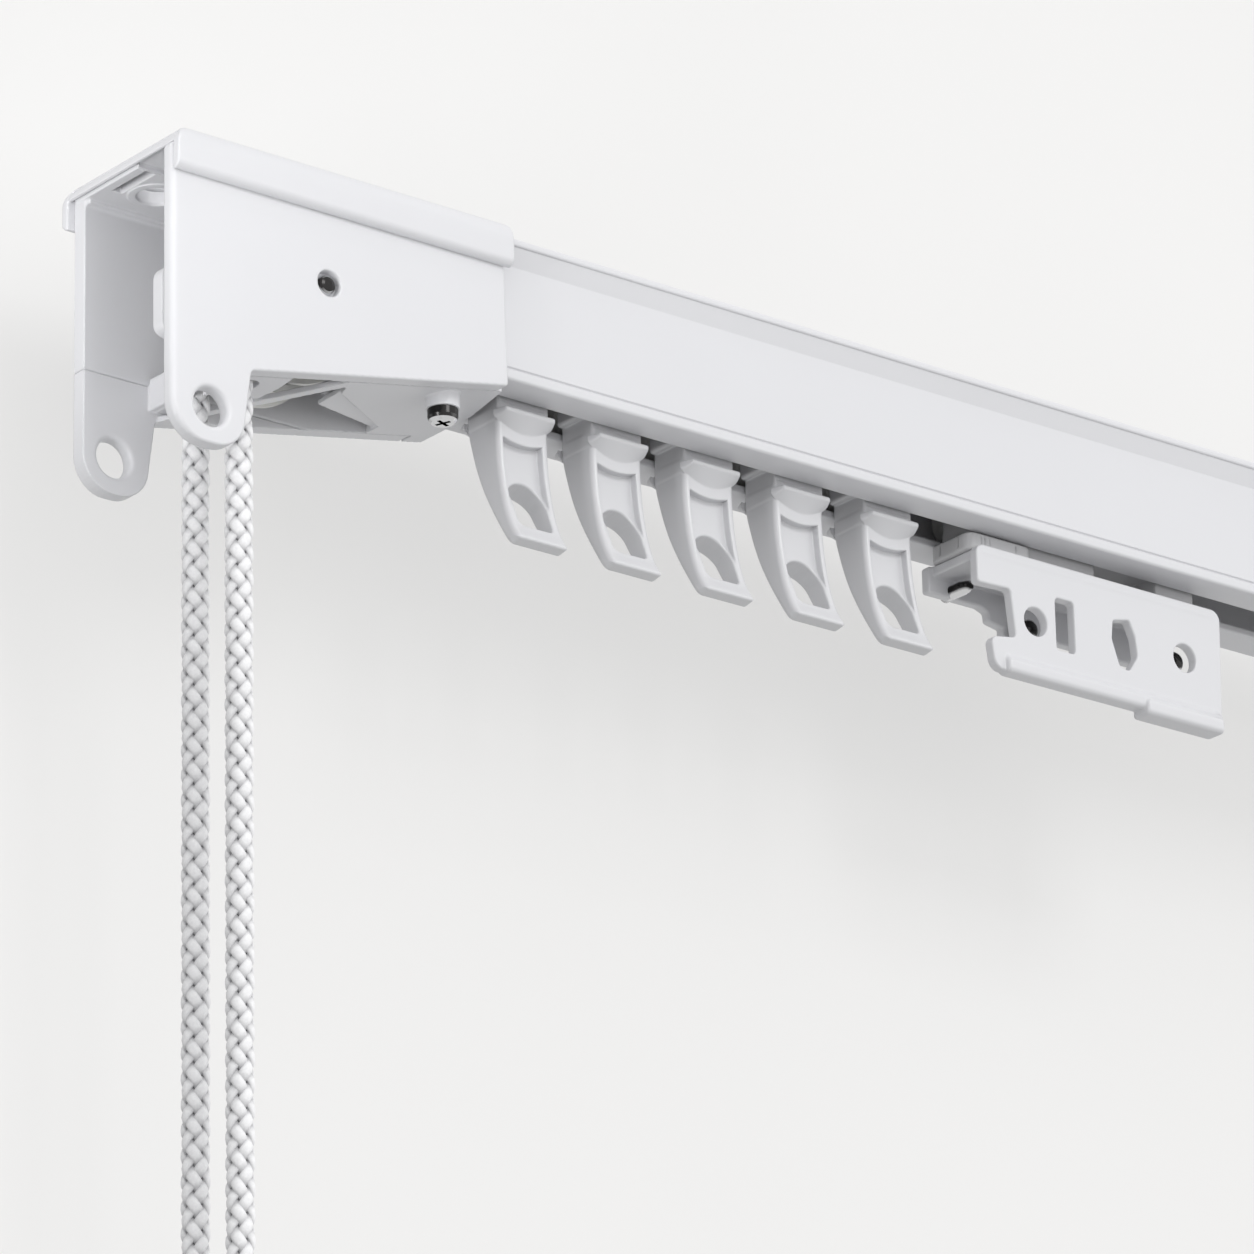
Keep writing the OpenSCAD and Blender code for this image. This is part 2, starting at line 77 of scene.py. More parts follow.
# ---------------------------------------------------------------- materials
class Nodes:
    def __init__(self, name):
        self.mat = bpy.data.materials.new(name)
        self.mat.use_nodes = True
        self.t = self.mat.node_tree
        self.b = self.t.nodes["Principled BSDF"]

    def add(self, kind, **props):
        n = self.t.nodes.new(kind)
        for k, v in props.items():
            setattr(n, k, v)
        return n

    def link(self, a, b):
        self.t.links.new(a, b)

    def put(self, socket, value):
        self.b.inputs[socket].default_value = value

    def noise(self, scale, detail=3.0, rough=0.55, vec=None):
        n = self.add("ShaderNodeTexNoise")
        n.inputs["Scale"].default_value = scale
        n.inputs["Detail"].default_value = detail
        n.inputs["Roughness"].default_value = rough
        self.link(vec if vec is not None else self.coords(), n.inputs["Vector"])
        return n.outputs["Fac"]

    def coords(self, scale=None):
        c = self.add("ShaderNodeTexCoord").outputs["Object"]
        if scale is None:
            return c
        m = self.add("ShaderNodeMapping")
        m.inputs["Scale"].default_value = scale
        self.link(c, m.inputs["Vector"])
        return m.outputs["Vector"]

    def ramp(self, fac, a, b, lo=0.0, hi=1.0):
        m = self.add("ShaderNodeMapRange")
        m.inputs["From Min"].default_value = lo
        m.inputs["From Max"].default_value = hi
        m.inputs["To Min"].default_value = a
        m.inputs["To Max"].default_value = b
        self.link(fac, m.inputs["Value"])
        return m.outputs["Result"]

    def mix(self, fac, a, b):
        m = self.add("ShaderNodeMix", data_type="RGBA")
        m.inputs["A"].default_value = (*a, 1)
        m.inputs["B"].default_value = (*b, 1)
        self.link(fac, m.inputs["Factor"])
        return m.outputs["Result"]

    def bump(self, height, strength, distance):
        b = self.add("ShaderNodeBump")
        b.inputs["Strength"].default_value = strength
        b.inputs["Distance"].default_value = distance
        self.link(height, b.inputs["Height"])
        self.link(b.outputs["Normal"], self.b.inputs["Normal"])


def white_plastic(name, base, rough, peel=0.06, coat=0.0):
    n = Nodes(name)
    warm = n.noise(38.0, 2.0)
    n.link(n.mix(n.ramp(warm, 0, 1, 0.3, 0.7), tuple(c * 0.985 for c in base), base), n.b.inputs["Base Color"])
    n.link(n.ramp(n.noise(240.0, 4.0), rough - 0.02, rough + 0.03, 0.25, 0.75), n.b.inputs["Roughness"])
    n.bump(n.noise(900.0, 3.0), peel, 0.00004)
    n.put("IOR", 1.49)
    n.put("Coat Weight", coat)
    n.put("Coat Roughness", 0.18)
    return n.mat


def make_materials():
    m = {}
    m["white_housing"] = white_plastic("white_housing", (0.655, 0.657, 0.678), 0.36, 0.05)
    m["white_rail"] = white_plastic("white_rail", (0.655, 0.657, 0.678), 0.33, 0.10)
    m["white_glider"] = white_plastic("white_glider", (0.62, 0.622, 0.64), 0.30, 0.04, 0.15)
    m["white_arm"] = white_plastic("white_arm", (0.64, 0.642, 0.662), 0.30, 0.04, 0.1)
    m["grey_carrier"] = white_plastic("grey_carrier", (0.52, 0.52, 0.53), 0.45, 0.08)
    m["roller_nylon"] = white_plastic("roller_nylon", (0.70, 0.70, 0.68), 0.42, 0.05)

    n = Nodes("bright_steel")
    n.put("Metallic", 1.0)
    # painted reflection: the base colour is near black where the surface faces sideways and bright where it faces up or
    # down, in place of the plated steel's dark and bright reflections
    nz = n.add("ShaderNodeSeparateXYZ")
    n.link(n.add("ShaderNodeTexCoord").outputs["Normal"], nz.inputs[0])
    up = n.add("ShaderNodeMath", operation="ADD")
    n.link(nz.outputs["Z"], up.inputs[0])
    n.link(n.ramp(n.noise(420.0, 2.0), -0.12, 0.12, 0.3, 0.7), up.inputs[1])
    painted_glint_level = n.add("ShaderNodeMath", operation="ABSOLUTE")
    n.link(up.outputs[0], painted_glint_level.inputs[0])
    n.link(n.mix(n.ramp(painted_glint_level.outputs[0], 0, 1, 0.35, 0.7), (0.035, 0.034, 0.034), (0.93, 0.93, 0.94)), n.b.inputs["Base Color"])
    n.link(n.ramp(n.noise(300.0), 0.12, 0.24, 0.3, 0.7), n.b.inputs["Roughness"])
    m["bright_steel"] = n.mat

    n = Nodes("white_cord")
    fine = n.noise(2600.0, 3.0, 0.6)
    # painted shade: the creases between the strands, and the core showing between them, are coloured darker than the
    # strands' crowns
    painted_crease_shade = n.mix(n.ramp(n.add("ShaderNodeAttribute", attribute_name="rise").outputs["Fac"], 0, 1, 1.2, 1.74), (0.28, 0.28, 0.29), (1.0, 1.0, 1.0))
    tint = n.add("ShaderNodeMix", data_type="RGBA", blend_type="MULTIPLY")
    tint.inputs["Factor"].default_value = 1.0
    n.link(n.mix(n.ramp(fine, 0, 1, 0.3, 0.7), (0.79, 0.79, 0.805), (0.88, 0.88, 0.89)), tint.inputs["A"])
    n.link(painted_crease_shade, tint.inputs["B"])
    n.link(tint.outputs["Result"], n.b.inputs["Base Color"])
    n.link(n.ramp(fine, 0.55, 0.75, 0.3, 0.7), n.b.inputs["Roughness"])
    n.bump(n.noise(5200.0, 2.0), 0.35, 0.00006)
    n.put("Sheen Weight", 0.25)
    n.put("Sheen Roughness", 0.5)
    m["white_cord"] = n.mat
    return m


MAT = make_materials()


# ---------------------------------------------------------------- shapes as distance fields
def poly(P):
    """Signed distance to a closed polygon, as a function of two coordinates."""
    P = np.asarray(P, float)

    def f(u, v):
        d, s = None, None
        for i in range(len(P)):
            a, b = P[i], P[i - 1]
            ex, ey = b - a
            wx, wy = u - a[0], v - a[1]
            t = np.clip((wx * ex + wy * ey) / (ex * ex + ey * ey), 0, 1)
            dx, dy = wx - ex * t, wy - ey * t
            dd = dx * dx + dy * dy
            c1, c2, c3 = v >= a[1], v < b[1], ex * wy > ey * wx
            flip = (c1 & c2 & c3) | (~c1 & ~c2 & ~c3)
            sg = np.where(flip, -1.0, 1.0)
            d = dd if d is None else np.minimum(d, dd)
            s = sg if s is None else s * sg
        return s * np.sqrt(d)

    return f


def rnd(P, R, n=8):
    """Polygon with its corners rounded to the radii in R."""
    P = [np.array(p, float) for p in P]
    out = []
    L = len(P)
    for i, r in enumerate(R):
        a, b, c = P[i - 1], P[i], P[(i + 1) % L]
        if r < 0.01:
            out.append(b)
            continue
        u, v = (a - b) / np.linalg.norm(a - b), (c - b) / np.linalg.norm(c - b)
        ang = math.acos(max(-1, min(1, float(u @ v))))
        t = r / math.tan(ang / 2)
        o = b + (u + v) / np.linalg.norm(u + v) * r / math.sin(ang / 2)
        p, q, th = b + u * t - o, b + v * t - o, math.pi - ang
        for k in range(n + 1):
            w = k / n
            out.append(o + (p * math.sin((1 - w) * th) + q * math.sin(w * th)) / math.sin(th))
    return out


def smooth_line(P, n=6):
    """Open line through the points, rounded as a Catmull-Rom curve."""
    P = [np.array(p, float) for p in P]
    out = []
    for i in range(len(P) - 1):
        p0, p1, p2, p3 = P[max(i - 1, 0)], P[i], P[i + 1], P[min(i + 2, len(P) - 1)]
        for k in range(n):
            t = k / n
            out.append(0.5 * (2 * p1 + (p2 - p0) * t + (2 * p0 - 5 * p1 + 4 * p2 - p3) * t * t + (3 * p1 - p0 - 3 * p2 + p3) * t ** 3))
    out.append(P[-1])
    return out


def ext(d2, w, a, b, r=0.0):
    """A flat shape of distance d2 drawn out along w from a to b, its edges rounded by r."""
    dw = np.abs(w - (a + b) / 2) - (b - a) / 2
    p, q = d2 + r, dw + r
    return np.minimum(np.maximum(p, q), 0) + np.hypot(np.maximum(p, 0), np.maximum(q, 0)) - r


def box(x, y, z, lo, hi, r=0.0):
    q = [np.abs(c - (a + b) / 2) - (b - a) / 2 + r for c, a, b in zip((x, y, z), lo, hi)]
    out = np.sqrt(sum(np.maximum(k, 0) ** 2 for k in q))
    return out + np.minimum(np.maximum(np.maximum(q[0], q[1]), q[2]), 0) - r


def smin(a, b, k=0.0):
    if k <= 0:
        return np.minimum(a, b)
    h = np.maximum(k - np.abs(a - b), 0) / k
    return np.minimum(a, b) - h * h * k / 4


def smax(a, b, k=0.0):
    return -smin(-a, -b, k)


def cut(a, b, k=0.0):
    return smax(a, -b, k)


def step(x, a, b):
    t = np.clip((x - a) / (b - a), 0, 1)
    return t * t * (3 - 2 * t)


def mesh_field(f, lo, hi, h):
    """Quad mesh of the surface f = 0, its vertices moved onto the surface."""
    lo, hi = np.array(lo, float) - 2 * h, np.array(hi, float) + 2 * h
    n = np.ceil((hi - lo) / h).astype(int) + 1
    X, Y, Z = (lo[i] + h * np.arange(n[i]) for i in range(3))
    D = np.broadcast_to(f(X[:, None, None], Y[None, :, None], Z[None, None, :]), tuple(n)).astype(np.float32)
    ins = D < 0
    cnt = np.zeros(tuple(n - 1), np.int8)
    for i in (0, 1):
        for j in (0, 1):
            for k in (0, 1):
                cnt += ins[i:n[0] - 1 + i, j:n[1] - 1 + j, k:n[2] - 1 + k]
    cells = np.argwhere((cnt > 0) & (cnt < 8))
    idx = -np.ones(tuple(n - 1), np.int64)
    idx[tuple(cells.T)] = np.arange(len(cells))
    acc, num = np.zeros((len(cells), 3)), np.zeros(len(cells))
    ci, cj, ck = cells.T
    for ax in range(3):
        for p in (0, 1):
            for q in (0, 1):
                o = [p, q]
                o.insert(ax, 0)
                e = list(o)
                e[ax] = 1
                a = D[ci + o[0], cj + o[1], ck + o[2]]
                b = D[ci + e[0], cj + e[1], ck + e[2]]
                m = (a < 0) != (b < 0)
                t = np.where(m, a / np.where(m, a - b, 1), 0)
                pt = np.array(o, float)[None, :].repeat(len(cells), 0)
                pt[:, ax] = t
                acc += pt * m[:, None]
                num += m
    V = lo + h * (cells + acc / num[:, None])
    quads = []
    for ax in range(3):
        a = ins[tuple(slice(0, n[i] - 1) if i == ax else slice(1, n[i] - 1) for i in range(3))]
        b = ins[tuple(slice(1, n[i]) if i == ax else slice(1, n[i] - 1) for i in range(3))]
        e = np.argwhere(a != b)
        for i in range(3):
            if i != ax:
                e[:, i] += 1
        first = ins[tuple(e.T)]
        u, v = [i for i in range(3) if i != ax]
        c = []
        for du, dv in ((-1, -1), (0, -1), (0, 0), (-1, 0)):
            g = e.copy()
            g[:, u] += du
            g[:, v] += dv
            c.append(idx[tuple(g.T)])
        c = np.stack(c, 1)
        flip = first if ax != 1 else ~first
        c[~flip] = c[~flip][:, ::-1]
        quads.append(c)
    Q = np.concatenate(quads)
    Q = Q[(Q >= 0).all(1)]
    for _ in range(3):
        d, g = gradient(f, V, 0.25 * h)
        V = V - g * np.clip(d, -h, h)[:, None]
    return V, Q


def gradient(f, V, e):
    x, y, z = V.T
    d = f(x, y, z)
    g = np.stack([f(x + e, y, z) - f(x - e, y, z), f(x, y + e, z) - f(x, y - e, z), f(x, y, z + e) - f(x, y, z - e)], 1)
    g /= np.maximum(np.linalg.norm(g, axis=1), 1e-9)[:, None]
    return d, g


def to_object(name, V, faces, mat, mm=True):
    me = bpy.data.meshes.new(name)
    V = place(V) if mm else np.asarray(V)
    me.vertices.add(len(V))
    me.vertices.foreach_set("co", np.ascontiguousarray(V, np.float32).ravel())
    k = faces.shape[1]
    me.loops.add(faces.size)
    me.loops.foreach_set("vertex_index", faces.astype(np.int32).ravel())
    me.polygons.add(len(faces))
    me.polygons.foreach_set("loop_start", np.arange(0, faces.size, k, dtype=np.int32))
    me.polygons.foreach_set("use_smooth", np.ones(len(faces), bool))
    me.update(calc_edges=True)
    me.validate()
    me.materials.append(mat)
    ob = bpy.data.objects.new(name, me)
    bpy.context.scene.collection.objects.link(ob)
    return ob


def field_object(name, f, lo, hi, h, mat, keep=0.3):
    """Object meshed from a distance field, thinned where it is flat and given the field's own normals."""
    V, Q = mesh_field(f, lo, hi, h)
    ob = to_object(name, V, Q, mat)
    if keep < 1:
        mod = ob.modifiers.new("thin", "DECIMATE")
        mod.ratio = keep
        dg = bpy.context.evaluated_depsgraph_get()
        me = bpy.data.meshes.new_from_object(ob.evaluated_get(dg))
        ob.modifiers.clear()
        old, ob.data = ob.data, me
        bpy.data.meshes.remove(old)
    me = ob.data
    co = np.empty(len(me.vertices) * 3, np.float32)
    me.vertices.foreach_get("co", co)
    W = co.reshape(-1, 3).astype(float) * 1000 + ORG
    _, g = gradient(f, W, 0.06)
    me.polygons.foreach_set("use_smooth", np.ones(len(me.polygons), bool))
    me.normals_split_custom_set_from_vertices([tuple(v) for v in g])
    return ob


def finish_piece(ob, body, slot, *nodes):
    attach(ob, body)
    if nodes:
        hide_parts(*nodes)
    return ob


# ---------------------------------------------------------------- cord
CORD_R = 1.75
PULL = [(6, -15), (6, -25), (6, -35), (6, -45), (6, -55), (6, -65), (6, -75), (6, -85), (6, -95), (6, -105), (6, -115), (6, -125), (6, -134),
        (5.9, -142), (5.4, -149), (4.6, -155), (3.9, -160), (3.4, -165), (3.3, -168),
        (3.8, -170.8), (5.4, -173.2), (7.8, -174.8), (10.5, -175.4), (13.2, -174.8), (15.6, -173.2), (17.2, -170.8),
        (17.7, -168), (17.6, -165), (17.1, -160), (16.4, -155), (15.6, -149), (15.1, -142),
        (15, -134), (15, -125), (15, -115), (15, -105), (15, -95), (15, -85), (15, -75), (15, -65), (15, -55), (15, -45), (15, -35), (15, -25), (15, -15)]
CORD_X = 12.7


def resample(P, ds):
    P = np.asarray(P, float)
    seg = np.linalg.norm(np.diff(P, axis=0), axis=1)
    s = np.concatenate([[0], np.cumsum(seg)])
    n = max(2, int(round(s[-1] / ds)))
    t = np.linspace(0, s[-1], n + 1)
    return np.stack([np.interp(t, s, P[:, i]) for i in range(3)], 1), t


def frames(C):
    """Tangents and two normals that don't twist along the line C."""
    T = np.gradient(C, axis=0)
    T /= np.linalg.norm(T, axis=1)[:, None]
    N = np.empty_like(C)
    n = np.array([1.0, 0.0, 0.0])
    if abs(T[0] @ n) > 0.9:
        n = np.array([0.0, 1.0, 0.0])
    for i in range(len(C)):
        n = n - T[i] * (n @ T[i])
        n /= np.linalg.norm(n)
        N[i] = n
    return T, N, np.cross(T, N)


def tube(C, N, B, ru, rv, m, U=None, W=None):
    """Rings of m points round C, ru wide along U and rv along W."""
    U = N if U is None else U
    W = B if W is None else W
    a = 2 * math.pi * np.arange(m) / m
    R = C[:, None, :] + ru * np.cos(a)[None, :, None] * U[:, None, :] + rv * np.sin(a)[None, :, None] * W[:, None, :]
    n = len(C)
    i, k = np.meshgrid(np.arange(n - 1), np.arange(m), indexing="ij")
    F = np.stack([i * m + k, i * m + (k + 1) % m, (i + 1) * m + (k + 1) % m, (i + 1) * m + k], -1).reshape(-1, 4)
    caps = []
    for base, rev in ((0, True), ((n - 1) * m, False)):
        for k in range(1, m // 2):
            q = [base + k - 1, base + k, base + m - 1 - k, base + (m - k) % m]
            q = [base + (k - 1), base + k, base + (m - 1 - k), base + (m - k) % m] if k > 1 else [base, base + 1, base + m - 2, base + m - 1]
            caps.append(q[::-1] if rev else q)
    return R.reshape(-1, 3), np.concatenate([F, np.array(caps)])


def braid(name, P, ds, sides, lay=12.8):
    """Round plait of four strands each way round a soft core, along the line P."""
    C, s = resample(P, ds)
    T, N, B = frames(C)
    total = s[-1]
    turns = max(1, round(total / lay * 4)) / 4.0
    w = 2 * math.pi * turns / total
    Vs, Fs, off = [], [], 0
    v, f = tube(C, N, B, 0.8, 0.8, 8)
    Vs.append(v); Fs.append(f); off += len(v)
    rise = [np.full(len(v), 0.8)]
    for way in (1, -1):
        for k in range(4):
            th = way * w * s + 2 * math.pi * k / 4
            # over one, under one: each family lies on top in every second of the eight columns of crossings
            over = way * np.tanh(1.8 * np.cos(4 * th)) / math.tanh(1.8)
            rad = 1.14 + 0.2 * over
            D = np.cos(th)[:, None] * N + np.sin(th)[:, None] * B
            S = C + rad[:, None] * D
            t = np.gradient(S, axis=0)
            t /= np.linalg.norm(t, axis=1)[:, None]
            side = np.cross(t, D)
            side /= np.linalg.norm(side, axis=1)[:, None]
            v, f = tube(S, None, None, 0.46, 0.74, sides, D, side)
            Vs.append(v); Fs.append(f + off); off += len(v)
            rise.append(np.linalg.norm(v - np.repeat(C, sides, axis=0), axis=1))
    V = np.concatenate(Vs)
    F = np.concatenate(Fs)
    ob = to_object(name, V, F, MAT["white_cord"])
    # height above the middle of the cord, read by the cord's material to paint shade into the creases
    at = ob.data.attributes.new("rise", "FLOAT", "POINT")
    at.data.foreach_set("value", np.concatenate(rise).astype(np.float32))
    return ob


def arc(c, u, v, r, a0, a1, n):
    c, u, v = (np.array(k, float) for k in (c, u, v))
    return [c + r * (math.cos(a) * u + math.sin(a) * v) for a in np.linspace(math.radians(a0), math.radians(a1), n)]


def make_cords():
    path = [(CORD_X, y, z) for y, z in PULL]
    fine = smooth_line(path, 5)
    ob = braid("pull_cord_braid", fine, 0.42, 10)
    finish_piece(ob, "track", "white_cord", "pull_cord")
    # the part of the loop in the track
    px, pz, r = 22.2, -9.1, 9.5
    rx, ym = 475.0, 10.5
    P = [np.array((CORD_X, 6, -15.0))]
    P += arc((px, 6, pz), (1, 0, 0), (0, 0, 1), r, 180, 90, 14)
    P += arc((rx, ym, 0.4), (1, 0, 0), (0, 1, 0), 4.5, -90, 90, 16)
    P += arc((px, 15, pz), (1, 0, 0), (0, 0, 1), r, 90, 180, 14)
    P += [np.array((CORD_X, 15, -15.0))]
    ob = braid("track_cord_braid", P, 0.6, 8)
    finish_piece(ob, "track", "white_cord", "track_cord")


make_cords()


# ---------------------------------------------------------------- end housing
def under(x):
    return -23.6 + 0.194 * (x - 10.4)


EAR = (4.35, -29.8)
AX = (22.2, -9.1)
Y0, Y1, Y2 = 2.2, 20.3, 22.5
PLATE = poly(rnd([(-1.5, 3.4), (-1.5, -34.6), (8.9, -34.6), (10.4, -23.6), (49.95, -15.93), (49.45, 5.35), (-0.1, 5.35), (-1, 4.5)],
                 [0, 5.15, 4.3, 0.8, 0.5, 0.3, 0.2, 0.2], 9))
BACK = poly(rnd([(-0.35, 3.4), (-0.35, -19.09), (33.6, -19.09), (49.95, -15.93), (49.45, 5.35), (0.4, 5.35), (-0.35, 4.8)],
                [0, 0, 0.2, 0.5, 0.3, 0.2, 0.2], 5))


def f_front(x, y, z):
    r = 0.28 + 0.45 * step(-x, -3.6, 1.0)
    d = ext(PLATE(x, z), y, 0.0, Y0, r)
    h = np.hypot(x - EAR[0], z - EAR[1])
    d = cut(d, h - 2.5, 0.7)
    # axle hole, with a sunk seat
    a = np.hypot(x - AX[0], z - AX[1])
    return cut(d, np.maximum(a - 1.72, y - 1.25), 0.25)


def f_back(x, y, z):
    d = ext(BACK(x, z), y, Y1, Y2, 0.12)
    boss = np.maximum(np.hypot(x - AX[0], z - AX[1]) - 3.0, Y1 - 2.1 - y)
    boss = np.maximum(boss, y - 21)
    return smin(d, boss, 0.5)


def f_web(x, y, z):
    d = box(x, y, z, (-0.6, 0.5, 3.5), (33.5, 22.0, 5.33), 0.15)
    d = cut(d, box(x, y, z, (-4, 2.2, 1.3), (36, 8.6, 4.3), 0.1), 0.15)
    d = smin(d, box(x, y, z, (-0.2, 19.4, 2.9), (33.5, 21.0, 4.0), 0.2), 0.2)
    d = cut(d, box(x, y, z, (0.85, 8.9, 0), (2.2, 16.0, 7)), 0.15)
    hole = np.hypot(x - 6.2, y - 14.0)
    d = smin(d, np.maximum(np.abs(hole - 3.2) - 0.5, np.abs(z - 3.95) - 0.6), 0.2)
    return cut(d, hole - 2.5, 0.3)


def f_housing(x, y, z):
    d = smin(smin(f_front(x, y, z), f_back(x, y, z), 0), f_web(x, y, z), 0.5)
    rel = np.minimum(box(x, y, z, (35, 0.85, 1.3), (51.5, 2.4, 5.8)), box(x, y, z, (35, 20.1, 1.3), (51.5, 21.65, 5.8)))
    d = cut(d, rel)
    return cut(d, box(x, y, z, (-4, -1, 3.88), (-0.88, 24, 8)))


CAP = poly(rnd([(-1.25, 0.1), (-1.25, 6.6), (23.75, 6.6), (23.75, 0.1), (22.5, 0.1), (22.5, 5.35), (0, 5.35), (0, 0.1)],
               [1.0, 3.1, 3.1, 1.0, 0.15, 0.2, 0.2, 0.15], 12))


def cap_field(L):
    end = poly(rnd([(-1.5, -3), (-1.5, 6.6), (L, 6.6), (L, -3)], [0, 3.6, 0.6, 0], 12))

    def f(x, y, z):
        d = ext(CAP(y, z), x, -1.5, L, 0.3)
        lip = box(x, y, z, (-1.5, 0.05, 3.9), (-0.7, 22.45, 5.6), 0.15)
        d = smin(d, lip, 0.3)
        return smax(d, end(x, z), 0.3)

    return f


f_cap0 = cap_field(50.4)


def f_cap(x, y, z):
    return cut(f_cap0(x, y, z), np.hypot(x - 6.2, y - 14.0) - 2.5, 0.3)


STRIP = poly(rnd([(-0.35, -19.13), (-0.35, -34.6), (8.9, -34.6), (10.4, -23.6), (33.2, -19.18), (33.2, -19.13)], [0, 4.55, 4.3, 0.8, 0, 0], 9))
UNDER = poly([(26.8, 2.22), (50.6, 2.22), (53.2, 11.8), (53.2, 22.5), (50.05, 22.5), (50.05, 20.25), (42.8, 20.25), (42.8, 17.7), (28.8, 6.6)])
BRACE = poly([(10.3, 20.7), (12.8, 20.7), (29.3, 2.22), (26.8, 2.22)])
CHEEK = poly([(10.2, 2.22), (18.2, 2.22), (18.8, 6.1), (18.4, 9.9), (16, 10.1), (10.2, 10.1)])
GUSSET = poly([(28.8, 6.6), (29.2, 12), (42.8, 19.1), (42.8, 17.7)])
SCR = (43.2, 4.8)


def f_bracket(x, y, z):
    low = z - under(x)
    d = ext(STRIP(x, z), y, Y1, Y2, 0.12)
    d = cut(d, np.hypot(x - EAR[0], z - EAR[1]) - 2.5, 0.7)
    web = box(x, y, z, (9.4, 2.22, -22.4), (10.6, 20.6, -18.2), 0.12)
    web = cut(web, box(x, y, z, (8, 20.26, -19.1), (12, 22, -16)))
    web = smin(web, box(x, y, z, (9.8, 2.22, -23.3), (10.9, 8.2, -22.3), 0.1), 0.1)
    web = smin(web, box(x, y, z, (10.3, 17.4, -22.4), (13.6, 20.8, -21.2), 0.1), 0.2)
    d = smin(d, web, 0.25)
    slab = np.maximum(-low, low - 0.75)
    d = smin(d, np.maximum(BRACE(x, y), slab), 0.15)
    cheek = np.maximum(CHEEK(x, y), slab)
    cheek = cut(cheek, np.hypot(x - CORD_X, y - 6.0) - 2.45, 0.1)
    cheek = cut(cheek, box(x, y, z, (10.8, 8.2, -40), (15.3, 12, 0)), 0.1)
    d = smin(d, cheek, 0.15)
    plate = np.maximum(UNDER(x, y), np.maximum(-low, low - 1.1))
    boss = np.maximum(np.hypot(x - SCR[0], y - SCR[1]) - 2.15, np.maximum(-19.25 - z, z + 16.6))
    plate = smin(plate, boss, 0.3)
    gus = np.maximum(GUSSET(x, y), np.maximum(0.5 - low, low - 1.1))
    d = smin(d, smin(plate, gus, 0.3), 0.2)
    return cut(d, np.hypot(x - SCR[0], y - SCR[1]) - 1.6)


DIV = poly(rnd([(3.7, -8.3), (3.7, -16.4), (8.6, -17.9), (33.2, -17.9), (33.2, 2.2), (15, 2.2), (9, -5.7)], [1.8, 1.4, 1, 1, 1, 2, 2], 6))


def f_divider(x, y, z):
    d = ext(DIV(x, z), y, 9.4, 11.6, 0.4)
    return cut(d, np.hypot(x - AX[0], z - AX[1]) - 1.56)


def make_housing():
    finish_piece(field_object("housing_shell", f_housing, (-1.5, 0, -34.6), (50, 22.5, 5.4), 0.25, MAT["white_housing"]), "track", "white_housing", "end_housing")
    finish_piece(field_object("cap_shell", f_cap, (-1.5, -1.25, 0), (50.5, 23.75, 6.6), 0.2, MAT["white_housing"]), "track", "white_housing", "top_cap")
    finish_piece(field_object("bracket_shell", f_bracket, (-0.4, 2.2, -34.6), (53.3, 22.5, -13.5), 0.2, MAT["white_housing"], 0.4), "track", "white_housing", "lower_bracket")
    finish_piece(field_object("divider_plate", f_divider, (3.7, 9.4, -17.9), (33.2, 11.6, 2.2), 0.25, MAT["white_housing"]), "track", "white_housing", "pulley_divider")


make_housing()


# ---------------------------------------------------------------- turned parts
def lathe(name, prof, origin, axis, mat, n=48, cross=None):
    """Ring mesh turned round an axis; prof is (radius, height) from bottom to top."""
    prof = np.array(prof, float)
    a = 2 * math.pi * np.arange(n) / n
    z = np.array(axis, float)
    u = np.array([1.0, 0, 0]) if abs(z[0]) < 0.5 else np.array([0, 1.0, 0])
    u = u - z * (u @ z)
    u /= np.linalg.norm(u)
    v = np.cross(z, u)
    o = np.array(origin, float)
    V = (o + prof[:, 1][:, None, None] * z + prof[:, 0][:, None, None] * (np.cos(a)[None, :, None] * u + np.sin(a)[None, :, None] * v)).reshape(-1, 3)
    m = len(prof)
    i, k = np.meshgrid(np.arange(m - 1), np.arange(n), indexing="ij")
    F = np.stack([i * n + k, i * n + (k + 1) % n, (i + 1) * n + (k + 1) % n, (i + 1) * n + k], -1).reshape(-1, 4)
    return V, F


